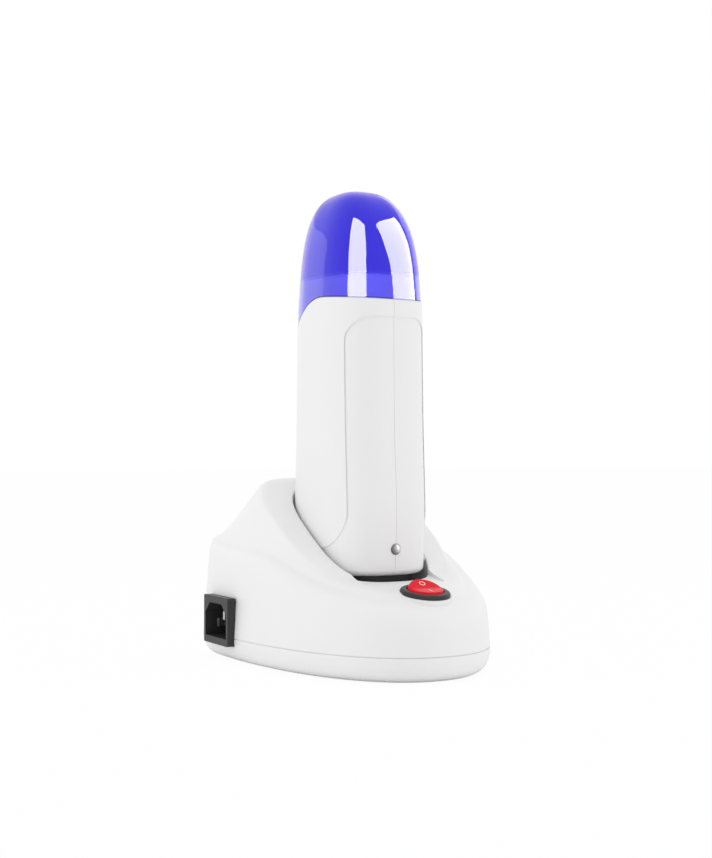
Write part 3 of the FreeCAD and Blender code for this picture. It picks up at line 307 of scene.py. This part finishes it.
dyed_clear("blue_clear_plastic", cap_dye_and_joint_shade, 0.02, 1.0)
dyed_clear("lamp_glass", drifting((0.90, 0.62, 0.45), (0.94, 0.68, 0.50)), 0.05, 0.7)
dyed_clear("lens_plastic", lens_grey_and_rim_shade, 0.26, 0.05)
red_with_painted_glow = dyed_clear("red_clear_plastic", drifting((0.62, 0.008, 0.02), (0.70, 0.013, 0.03)), 0.16, 0.04)
# A weak red emission on the rocker: a painted glow that brightens its red.
red_with_painted_glow.set(Emission_Color=(0.9, 0.01, 0.02, 1))
red_with_painted_glow.surface.inputs["Emission Strength"].default_value = 0.12
red_with_painted_glow.surface.inputs["Specular IOR Level"].default_value = 0.05
print("finishes so far", len(FINISHES))

# %% [markdown]
# ## Metals
#
# The metals are all small: plated brass blades in the inlet, brass contacts, zinc-plated screws and
# the drawn aluminium chamber. Each has its own brightness and a fine mottle, which is drawn out to
# streaks along the chamber. The shader's anisotropic gloss could stand for the streaks, but it only
# stretches the highlight and shows no single one, so mottle and streaks are both noise.

# %% Metal finishes
STREAK_SIZE = 2 * MM
STREAK_DEPTH = 0.006 * MM


def plain_metal(name, dark, light, roughness, brushing=(1, 1, 1)):
    """A metal whose mottle is drawn out to streaks along the axis on which brushing is small."""
    finish = Finish(name)
    streaks = finish.noise(STREAK_SIZE, detail=3.0, stretch=brushing)
    finish.bump(streaks, STREAK_DEPTH)
    finish.set(Base_Color=finish.mixed(streaks, dark, light), Metallic=1.0,
               Roughness=roughness + 0.15 * (streaks - 0.5))
    FINISHES[name] = finish.material


plain_metal("plated_brass", (0.62, 0.61, 0.58), (0.80, 0.79, 0.76), 0.28)
plain_metal("contact_brass", (0.66, 0.46, 0.20), (0.80, 0.60, 0.30), 0.3)
plain_metal("screw_steel", (0.48, 0.49, 0.50), (0.66, 0.67, 0.68), 0.35)
plain_metal("spring_steel", (0.45, 0.45, 0.46), (0.60, 0.60, 0.61), 0.3)
plain_metal("fuse_metal", (0.60, 0.60, 0.60), (0.74, 0.74, 0.74), 0.3)
plain_metal("chamber_aluminium", (0.62, 0.63, 0.65), (0.76, 0.77, 0.79), 0.38, brushing=(1, 1, 0.05))
print("finishes", len(FINISHES))

# %% [markdown]
# ## Dress the CAD nodes
#
# The record says which material slot each node takes. Every slot has a finish of the same name
# above, so dressing the nodes is one loop.

# %% Give each node its finish
slots = {part["node"]: part["material_slot"] for part in frame["record"]["subparts"]}
for name, node in nodes.items():
    node.data.materials.clear()
    node.data.materials.append(FINISHES[slots[name]])
print("dressed", len(slots), "nodes in", len(set(slots.values())), "finishes")

# %% [markdown]
# ## The rocker
#
# A round rocker is a ball with its top cut to a shallow valley: whichever half is pressed lies
# level, and the other half stands up. Its edges are soft, because it is moulded. The height of its
# top is the lower one of two rules, the valley and the ball, blended where they meet, so rings of
# points at that height give the rounded edge by themselves. A ball could be cut by a Boolean
# modifier and rounded by a Bevel instead, but the marks need the rule too, to lie on the top. The
# two stubs that the rocker turns on are joined to it by a Boolean modifier.

# %% Rocker helpers
PANEL_LEAN = atan(0.17)         # of the panel that the switch sits in
HALF_SWING = radians(10)
ROCKER_RADIUS = 8.5 * MM
ROCKER_CROWN = 3.0 * MM         # from the pivot up to the bottom of the valley
ROCKER_FLOOR = 4.0 * MM         # and down to its flat underside
VALLEY_SOFTNESS = 0.8 * MM
EDGE_SOFTNESS = 0.25 * MM

joints = {joint["name"]: joint for joint in frame["record"]["behaviour"]["joints"]}
PIVOT = Vector(joints["rocker_tilt"]["pos_m"])
ROCKER_PLACE = Matrix.Translation(PIVOT) @ Matrix.Rotation(PANEL_LEAN + HALF_SWING, 4, "X")


def rocker_top(x, y):
    """Height of the rocker's top above its pivot, before it is tilted."""
    valley = ROCKER_CROWN + tan(HALF_SWING) * (sqrt(y * y + VALLEY_SOFTNESS ** 2) - VALLEY_SOFTNESS)
    ball = sqrt(max(ROCKER_RADIUS ** 2 - x * x - y * y, 0.0))
    return -EDGE_SOFTNESS * log(exp(-valley / EDGE_SOFTNESS) + exp(-ball / EDGE_SOFTNESS))


def piece_from(name, points, faces, material, place=Matrix(), crease=35):
    """A finished mesh object at the origin, smooth except at edges sharper than the crease."""
    mesh = bpy.data.meshes.new(name)
    mesh.from_pydata([place @ Vector(point) for point in points], [], faces)
    mesh.validate()
    shell = bmesh.new()
    shell.from_mesh(mesh)
    bmesh.ops.remove_doubles(shell, verts=shell.verts, dist=1e-7)
    bmesh.ops.recalc_face_normals(shell, faces=shell.faces)
    shell.to_mesh(mesh)
    shell.free()
    mesh.shade_smooth()
    mesh.set_sharp_from_angle(angle=radians(crease))
    mesh.materials.append(material)
    made = bpy.data.objects.new(name, mesh)
    bpy.context.scene.collection.objects.link(made)
    return made


def ring_at(radius, height, steps=64):
    """A ring of points around the Z axis; height is a number or a rule in x and y."""
    ring = []
    for step in range(steps):
        x, y = radius * cos(2 * pi * step / steps), radius * sin(2 * pi * step / steps)
        ring.append((x, y, height(x, y) if callable(height) else height))
    return ring


def rings_of_points(rings):
    """Points and faces of a skin over rings of equally many points, closed by a fan at both ends."""
    points = [point for ring in rings for point in ring]
    around = len(rings[0])
    faces = []
    for level in range(len(rings) - 1):
        for step in range(around):
            a, b = level * around + step, level * around + (step + 1) % around
            faces.append((a, b, b + around, a + around))
    for level in (0, len(rings) - 1):
        ring = range(level * around, (level + 1) * around)
        middle = sum((Vector(points[i]) for i in ring), Vector()) / around
        points.append(tuple(middle))
        faces += [(i, i + 1 if i + 1 in ring else ring[0], len(points) - 1) for i in ring]
    return points, faces


print("rocker top", round(rocker_top(0, 0) / MM, 2), "to", round(rocker_top(0, 7 * MM) / MM, 2), "mm")

# %% Rocker
TOP_RADII = (0.3, 1.2, 2.2, 3.2, 4.2, 5.2, 6.0, 6.6, 7.0, 7.3, 7.5, 7.7, 7.9, 8.1, 8.28, 8.42)
FLOOR_RADII = (7.0, 4.0)
SIDE_SHARES = (0.0, 0.25, 0.5, 0.75, 1.0)       # of the way from the equator down to the floor
paddle_rings = [ring_at(radius * MM, rocker_top) for radius in TOP_RADII]
floor_turn = asin(ROCKER_FLOOR / ROCKER_RADIUS)
for share in SIDE_SHARES:
    turn = floor_turn * share
    paddle_rings.append(ring_at(ROCKER_RADIUS * cos(turn), -ROCKER_RADIUS * sin(turn)))
paddle_rings += [ring_at(radius * MM, -ROCKER_FLOOR) for radius in FLOOR_RADII]
paddle = piece_from("switch_paddle", *rings_of_points(paddle_rings), FINISHES["red_clear_plastic"])

PIVOT_REACH, PIVOT_RADIUS = 9.4 * MM, 1.2 * MM
STUB_STEPS = 24                 # points around
stub_turns = [2 * pi * step / STUB_STEPS for step in range(STUB_STEPS)]
stub_rings = [[(x, PIVOT_RADIUS * cos(turn), PIVOT_RADIUS * sin(turn)) for turn in stub_turns]
              for x in (-PIVOT_REACH, PIVOT_REACH)]
stub = piece_from("stub", *rings_of_points(stub_rings), FINISHES["red_clear_plastic"])


def joined(piece, other):
    """The union of two pieces, as a new plain mesh for the first one."""
    union = piece.modifiers.new("union", "BOOLEAN")
    union.operation = "UNION"
    union.solver = "EXACT"
    union.object = other
    whole = bpy.data.meshes.new_from_object(piece.evaluated_get(bpy.context.evaluated_depsgraph_get()))
    piece.modifiers.clear()
    piece.data = whole
    bpy.data.objects.remove(other)


bpy.context.view_layer.update()
joined(paddle, stub)
paddle.data.transform(ROCKER_PLACE)
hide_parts("switch_rocker")
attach(paddle, "rocker")
print("rocker", len(paddle.data.polygons), "faces")

# %% [markdown]
# ## Marks on the rocker
#
# The circle for off and the bar for on are inlaid in pale plastic, all but flush with the rocker's
# curved top. The rocker's material could paint them, but bodies of their own stay sharp from close
# by. So they are thin closed inlays: each point of their outline takes its height from the same
# rule as the top does, and they follow its valley exactly.

# %% Off and on marks
MARK_PROUD = 0.03 * MM
MARK_DEPTH = 0.15 * MM
OFF_MARK_Y, OFF_RADII = 3.9 * MM, (1.05 * MM, 1.5 * MM)
ON_MARK_Y, ON_HALF_LENGTH, ON_HALF_WIDTH = -3.6 * MM, 1.6 * MM, 0.24 * MM
OFF_STEPS, ON_STEPS = 40, 8


def walls(inner, outer):
    """The cross section of an inlay between two (x, y) places: in, up, across and down."""
    return [(*inner, -MARK_DEPTH), (*inner, MARK_PROUD), (*outer, MARK_PROUD), (*outer, -MARK_DEPTH)]


def inlaid(name, cross_sections, closed):
    """A thin inlay from cross sections of four (x, y, lift) points along its length."""
    around = len(cross_sections)
    points = [(x, y, rocker_top(x, y) + lift) for section in cross_sections for x, y, lift in section]
    faces = []
    for step in range(around if closed else around - 1):
        a, b = 4 * step, 4 * ((step + 1) % around)
        faces += [(a + i, a + (i + 1) % 4, b + (i + 1) % 4, b + i) for i in range(4)]
    if not closed:
        faces += [(3, 2, 1, 0), tuple(4 * (around - 1) + i for i in range(4))]
    mark = piece_from(name, points, faces, FINISHES["mark_ink"], ROCKER_PLACE)
    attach(mark, "rocker")
    return mark


off_sections = []
for step in range(OFF_STEPS):
    turn = 2 * pi * step / OFF_STEPS
    inner, outer = [(radius * cos(turn), OFF_MARK_Y + radius * sin(turn)) for radius in OFF_RADII]
    off_sections.append(walls(inner, outer))
off_mark = inlaid("off_mark", off_sections, True)

on_sections = []
for step in range(ON_STEPS + 1):
    y = ON_MARK_Y + ON_HALF_LENGTH * (2 * step / ON_STEPS - 1)
    on_sections.append(walls((-ON_HALF_WIDTH, y), (ON_HALF_WIDTH, y)))
on_mark = inlaid("on_mark", on_sections, False)
print("marks", off_mark.name, on_mark.name)

# %% [markdown]
# ## Screws
#
# Four screws hold the tray from below and two more hold the handset's half shells. All are
# pan-head screws with a cross recess, in two sizes. So one screw of each size is made as a mesh,
# and a Geometry Nodes tree sets it on the points that it is given, where six separate screws would
# be as many meshes to keep alike. The head is a grid of rings whose heights dip where the cross is:
# a Boolean modifier could cut the cross, but the dip needs no cutter.

# %% One screw
SCREW_RADIUS = 1.5 * MM
HEAD_HEIGHT = 1.8 * MM
HEAD_FALL = 0.35                # how far the head's rim falls, as a share of its height
HEAD_SHARES = (0.05, 0.1, 0.14, 0.18, 0.22, 0.27, 0.33, 0.4, 0.47, 0.55, 0.65, 0.78, 0.88, 0.95, 1.0)
CROSS_HALF_WIDTH, CROSS_REACH, CROSS_DEPTH = 0.32 * MM, 1.3 * MM, 0.8 * MM
SCREW_STEPS = 96                # points around


def cross_dip(x, y):
    """How deep the driver's cross is at a place on the head."""
    arm, along = min(abs(x), abs(y)), max(abs(x), abs(y))
    side = min(max((CROSS_HALF_WIDTH - arm) / (0.25 * CROSS_HALF_WIDTH), 0), 1)
    end = min(max((CROSS_REACH - along) / (0.35 * CROSS_REACH), 0), 1)
    return CROSS_DEPTH * side * end


def screw_mesh(name, head_radius, length):
    """A screw that points to +Z, its head's face at the origin."""
    def face(x, y):
        return HEAD_FALL * HEAD_HEIGHT * (hypot(x, y) / head_radius) ** 4 + cross_dip(x, y)

    shank = ((head_radius, HEAD_HEIGHT), (SCREW_RADIUS, HEAD_HEIGHT), (SCREW_RADIUS, length - MM),
             (0.5 * SCREW_RADIUS, length))
    rings = [ring_at(head_radius * share, face, SCREW_STEPS) for share in HEAD_SHARES]
    rings += [ring_at(radius, z, SCREW_STEPS) for radius, z in shank]
    return piece_from(name, *rings_of_points(rings), FINISHES["screw_steel"], crease=30)


print("cross recess", CROSS_DEPTH / MM, "mm deep")

# %% Set the screws with Geometry Nodes
def screw_setter():
    """A tree that puts the screw object on every point, turned as the piece needs."""
    tree = bpy.data.node_groups.new("set_screws", "GeometryNodeTree")
    face = tree.interface
    face.new_socket("Geometry", in_out="INPUT", socket_type="NodeSocketGeometry")
    face.new_socket("Screw", in_out="INPUT", socket_type="NodeSocketObject")
    face.new_socket("Turn", in_out="INPUT", socket_type="NodeSocketVector")
    face.new_socket("Finish", in_out="INPUT", socket_type="NodeSocketMaterial")
    face.new_socket("Geometry", in_out="OUTPUT", socket_type="NodeSocketGeometry")
    start, end = tree.nodes.new("NodeGroupInput"), tree.nodes.new("NodeGroupOutput")
    info = tree.nodes.new("GeometryNodeObjectInfo")
    place = tree.nodes.new("GeometryNodeInstanceOnPoints")
    realize = tree.nodes.new("GeometryNodeRealizeInstances")
    finish = tree.nodes.new("GeometryNodeSetMaterial")
    link = tree.links.new
    link(start.outputs["Screw"], info.inputs["Object"])
    link(start.outputs["Geometry"], place.inputs["Points"])
    link(info.outputs["Geometry"], place.inputs["Instance"])
    link(start.outputs["Turn"], place.inputs["Rotation"])
    link(place.outputs[0], realize.inputs[0])
    link(realize.outputs[0], finish.inputs["Geometry"])
    link(start.outputs["Finish"], finish.inputs["Material"])
    link(finish.outputs[0], end.inputs[0])
    return tree


def set_screws(name, node, body, places, turn, head_radius, length):
    """Screws on the given places as one mesh, standing in for a CAD node."""
    single = screw_mesh(name + "_single", head_radius, length)
    points = bpy.data.meshes.new(name)
    points.from_pydata(places, [], [])
    holder = bpy.data.objects.new(name, points)
    bpy.context.scene.collection.objects.link(holder)
    setter = holder.modifiers.new("screws", "NODES")
    setter.node_group = SCREW_SETTER
    inputs = {item.name: item.identifier for item in SCREW_SETTER.interface.items_tree
              if item.in_out == "INPUT"}
    setter[inputs["Screw"]] = single
    setter[inputs["Turn"]] = turn
    setter[inputs["Finish"]] = FINISHES["screw_steel"]
    bpy.context.view_layer.update()
    depsgraph = bpy.context.evaluated_depsgraph_get()
    mesh = bpy.data.meshes.new_from_object(holder.evaluated_get(depsgraph))
    holder.modifiers.clear()
    holder.data = mesh
    bpy.data.objects.remove(single)
    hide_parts(node)
    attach(holder, body)
    print(name, len(mesh.polygons), "faces for", len(places), "screws")
    return holder


SCREW_SETTER = screw_setter()
base_low, base_high = (Vector(corner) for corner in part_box("base_screws"))
base_head = 2.8 * MM
base_places = [(x, y, base_low.z) for x in (base_low.x + base_head, base_high.x - base_head)
               for y in (base_low.y + base_head, base_high.y - base_head)]
set_screws("base_screw_set", "base_screws", "base", base_places, (0, 0, 0), base_head,
           base_high.z - base_low.z)

grip_low, grip_high = (Vector(corner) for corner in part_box("handset_screws"))
grip_head = 2.5 * MM
grip_middle_z = (grip_low.z + grip_high.z) / 2
grip_places = [(grip_high.x, y, grip_middle_z)
               for y in (grip_low.y + grip_head, grip_high.y - grip_head)]
set_screws("handset_screw_set", "handset_screws", "handset", grip_places, (0, -pi / 2, 0), grip_head,
           grip_high.x - grip_low.x)

# %% [markdown]
# ## The studio
#
# A product like this is shot high-key: all around it is white, and light comes from everywhere.
# Two weak lamps, low on the left and the right, leave the surfaces that face the camera a little
# darker than the sides, and one overhead brightens the base's slopes. They are not seen in
# reflections. An environment image could light it all and be mirrored too, but then no reflection
# could be moved by itself. So the polished cap mirrors four cards in the white, and light linking
# keeps them off the rest: a wide soft box in front, a narrower one on the right, which also gives
# the indicator lens its glint, and a dim card behind on each side.

# %% Light helpers
def soft_box(name, azimuth, lift, size, power, distance=1.3, roll=0.0, mirrored_in=()):
    """An upright lamp that faces the object, at an azimuth from the camera's side.

    The azimuth is positive to the left, and lift is the height of the lamp's middle in metres.
    With pieces that it is mirrored in, it lights those alone and shows in them. Otherwise it
    lights everything and shows in no reflection.
    """
    lamp_data = bpy.data.lights.new(name, "AREA")
    lamp_data.shape = "RECTANGLE"
    lamp_data.size, lamp_data.size_y = size
    lamp_data.energy = power
    lamp = bpy.data.objects.new(name, lamp_data)
    turn = radians(CAMERA_TURN - azimuth)
    lamp.location = (distance * sin(turn), -distance * cos(turn), lift)
    lamp.rotation_euler = (radians(90), radians(roll), turn)
    lamp.visible_camera = False
    lamp.visible_transmission = False
    lamp.visible_glossy = bool(mirrored_in)
    if mirrored_in:
        mirrors = bpy.data.collections.new(name + "_mirrors")
        for piece in mirrored_in:
            mirrors.objects.link(piece)
        lamp.light_linking.receiver_collection = mirrors
    bpy.context.scene.collection.objects.link(lamp)
    return lamp


def studio_world(strength):
    """A white world: 1 for the camera and in reflections, and the given strength as a lamp."""
    world = bpy.data.worlds.new("studio")
    world.use_nodes = True
    tree = world.node_tree
    tree.nodes.clear()
    rays = tree.nodes.new("ShaderNodeLightPath").outputs
    shown = rays["Is Camera Ray"]
    for kind in ("Is Transmission Ray", "Is Glossy Ray"):
        either = tree.nodes.new("ShaderNodeMath")
        either.operation = "MAXIMUM"
        tree.links.new(shown, either.inputs[0])
        tree.links.new(rays[kind], either.inputs[1])
        shown = either.outputs[0]
    level = tree.nodes.new("ShaderNodeMapRange")
    level.inputs["To Min"].default_value = strength
    tree.links.new(shown, level.inputs["Value"])
    background = tree.nodes.new("ShaderNodeBackground")
    background.inputs["Color"].default_value = (1, 1, 1, 1)
    tree.links.new(level.outputs[0], background.inputs["Strength"])
    output = tree.nodes.new("ShaderNodeOutputWorld")
    tree.links.new(background.outputs[0], output.inputs["Surface"])
    bpy.context.scene.world = world


def studio_floor(half_size, glow):
    """A plain pale floor that shows white to the camera where nothing shades it."""
    mesh = bpy.data.meshes.new("floor")
    corners = [(-half_size, -half_size, 0), (half_size, -half_size, 0),
               (half_size, half_size, 0), (-half_size, half_size, 0)]
    mesh.from_pydata(corners, [], [(0, 1, 2, 3)])
    floor = bpy.data.objects.new("floor", mesh)
    bpy.context.scene.collection.objects.link(floor)
    finish = Finish("floor")
    finish.set(Base_Color=finish.mixed(finish.noise(20 * MM), (0.96, 0.96, 0.96), (0.98, 0.98, 0.98)),
               Roughness=0.8)
    finish.surface.inputs["Specular IOR Level"].default_value = 0.0
    path = finish.node("ShaderNodeLightPath")
    white = finish.node("ShaderNodeEmission", {}, {"Strength": 1.0})
    share = Value(finish, path.outputs["Is Camera Ray"]) * glow
    blend = finish.node("ShaderNodeMixShader", {}, {0: share, 1: finish.surface.outputs[0],
                                                    2: white.outputs[0]})
    finish.feed(finish.output, "Surface", blend.outputs[0])
    mesh.materials.append(finish.material)


print("light helpers ready")

# %% Light and floor
studio_world(0.85)
studio_floor(half_size=6.0, glow=0.95)
soft_box("left_lamp", azimuth=78, lift=0.03, size=(0.4, 0.3), power=1.3, distance=0.8)
soft_box("right_lamp", azimuth=-80, lift=0.03, size=(0.4, 0.3), power=1.0, distance=0.8)
top_lamp = soft_box("top_lamp", azimuth=0, lift=1.2, size=(0.6, 0.6), power=1.6, distance=0.25)
top_lamp.rotation_euler = (0, 0, 0)      # it looks straight down

cap, lens = nodes["cap"], nodes["indicator_lamp"]
soft_box("front_card", azimuth=18, lift=1.15, size=(1.56, 2.7), power=240, roll=7, mirrored_in=[cap])
soft_box("side_card", azimuth=-82.8, lift=0.8, size=(1.02, 2.1), power=108, mirrored_in=[cap, lens])
soft_box("left_rear_card", azimuth=145, lift=0.25, size=(1.8, 1.1), power=4, distance=1.5,
         mirrored_in=[cap])
soft_box("right_rear_card", azimuth=-140, lift=0.6, size=(1.4, 1.6), power=8, mirrored_in=[cap])
print("studio ready")
